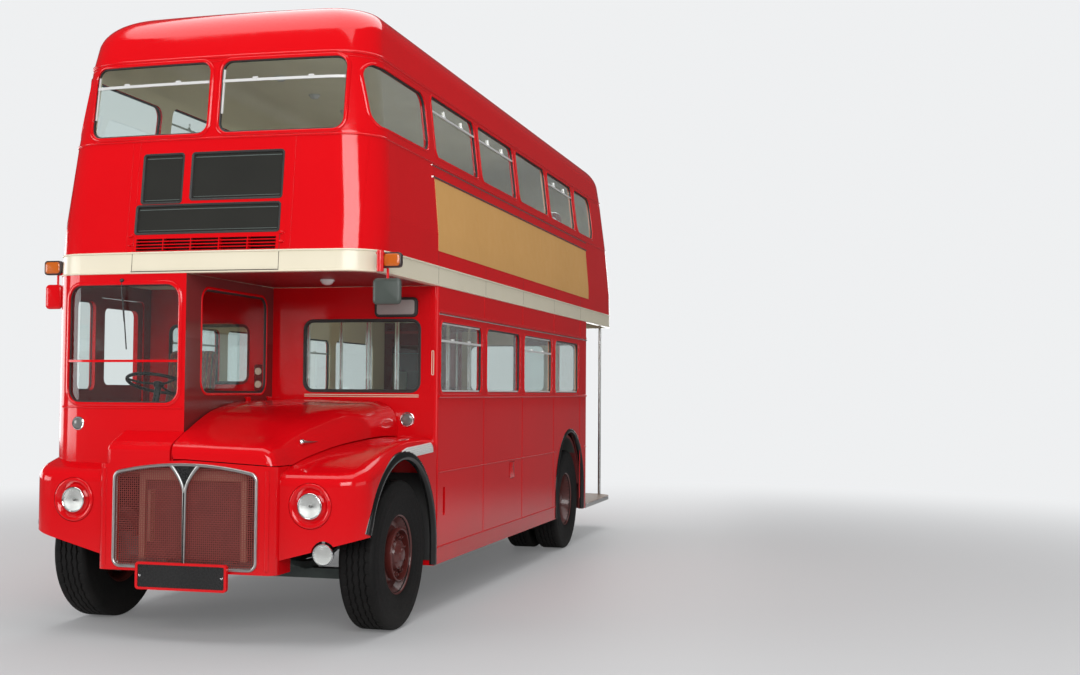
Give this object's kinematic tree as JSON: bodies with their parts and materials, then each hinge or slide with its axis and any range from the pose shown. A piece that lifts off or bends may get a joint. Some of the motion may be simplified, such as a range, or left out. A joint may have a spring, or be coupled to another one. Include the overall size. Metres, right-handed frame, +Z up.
{
  "type": "double decker bus",
  "caption": "Half-cab double decker bus with a front engine under a side bonnet, stairs rising from an open rear platform, glazed decks, steered front wheels and twin rear wheels.",
  "frame": {"origin": "on the ground under the middle of the bus, midway along the length of its solids", "axes": "+Z up, the bus faces -Y, its kerb side is +X and its driver's side is -X"},
  "size_m": [2.75, 8.462, 4.381],
  "materials": {
    "red_paint": "gloss",
    "dark_red_paint": "satin",
    "cream_paint": "gloss",
    "maroon_paint": "satin",
    "black_paint": "satin",
    "polished_metal": "polished",
    "grey_steel": "satin",
    "cast_iron": "rough",
    "tyre_rubber": "matte",
    "dark_plastic": "matte",
    "window_glass": "clear",
    "lamp_glass": "clear",
    "seat_cloth": "woven",
    "floor_wood": "worn"
  },
  "bodies": {
    "bus_body": {"axles": "grey_steel", "body_mouldings": "cream_paint", "cab_shell": "red_paint", "chassis_frame": "grey_steel", "display_boxes": "dark_plastic", "engine": "cast_iron", "front_bulkhead": "dark_red_paint", "front_wings": "red_paint", "fuel_tank": "grey_steel", "glazing": "window_glass", "grab_poles": "polished_metal", "grille": "polished_metal", "lamps": "lamp_glass", "lower_floors": "floor_wood", "mirrors": "grey_steel", "near_lower_side": "red_paint", "nose_cowl": "red_paint", "number_plates": "black_paint", "off_lower_side": "red_paint", "radiator": "black_paint", "rear_bulkhead": "dark_red_paint", "rear_lower_wall": "red_paint", "roof": "red_paint", "seat_frames": "grey_steel", "seats": "seat_cloth", "staircase": "grey_steel", "steering_wheel": "dark_plastic", "upper_floor": "floor_wood", "upper_front": "red_paint", "upper_rear": "red_paint", "upper_sides": "red_paint", "waist_band": "cream_paint"},
    "knuckle_near": {"front_near_knuckle": "grey_steel"},
    "knuckle_off": {"front_off_knuckle": "grey_steel"},
    "wheel_front_near": {"front_near_tyre": "tyre_rubber", "front_near_rim": "maroon_paint"},
    "wheel_front_off": {"front_off_tyre": "tyre_rubber", "front_off_rim": "maroon_paint"},
    "wheel_rear_near": {"rear_near_tyres": "tyre_rubber", "rear_near_rims": "maroon_paint"},
    "wheel_rear_off": {"rear_off_tyres": "tyre_rubber", "rear_off_rims": "maroon_paint"},
    "bonnet": {"bonnet": "red_paint"},
    "cab_door": {"cab_door": "red_paint"},
    "emergency_window": {"emergency_window": "red_paint", "emergency_glass": "window_glass"}
  },
  "joints": [
    {"name": "steer_near", "type": "hinge", "parent": "bus_body", "child": "knuckle_near", "pos_m": [0.912, -3.345, 0.515], "axis": [0, 0, 1], "range_deg": [-35, 35]},
    {"name": "steer_off", "type": "hinge", "parent": "bus_body", "child": "knuckle_off", "pos_m": [-0.912, -3.345, 0.515], "axis": [0, 0, 1], "range_deg": [-35, 35]},
    {"name": "spin_front_near", "type": "hinge", "parent": "knuckle_near", "child": "wheel_front_near", "pos_m": [1.068, -3.345, 0.515], "axis": [1, 0, 0], "continuous": true},
    {"name": "spin_front_off", "type": "hinge", "parent": "knuckle_off", "child": "wheel_front_off", "pos_m": [-1.068, -3.345, 0.515], "axis": [1, 0, 0], "continuous": true},
    {"name": "spin_rear_near", "type": "hinge", "parent": "bus_body", "child": "wheel_rear_near", "pos_m": [1.056, 1.786, 0.515], "axis": [1, 0, 0], "continuous": true},
    {"name": "spin_rear_off", "type": "hinge", "parent": "bus_body", "child": "wheel_rear_off", "pos_m": [-1.056, 1.786, 0.515], "axis": [1, 0, 0], "continuous": true},
    {"name": "bonnet_hinge", "type": "hinge", "parent": "bus_body", "child": "bonnet", "pos_m": [-0.1117, -3.111, 1.592], "axis": [0, -1, 0], "range_deg": [0, 55]},
    {"name": "cab_door_hinge", "type": "hinge", "parent": "bus_body", "child": "cab_door", "pos_m": [-1.2303, -3.359, 1.8], "axis": [0, 0, 1], "range_deg": [0, 80]},
    {"name": "emergency_window_hinge", "type": "hinge", "parent": "bus_body", "child": "emergency_window", "pos_m": [0, 4.12435, 3.895], "axis": [1, 0, 0], "range_deg": [0, 60]}
  ],
  "couplings": [
    {"joint": "steer_off", "follows": "steer_near", "ratio": 1}
  ]
}
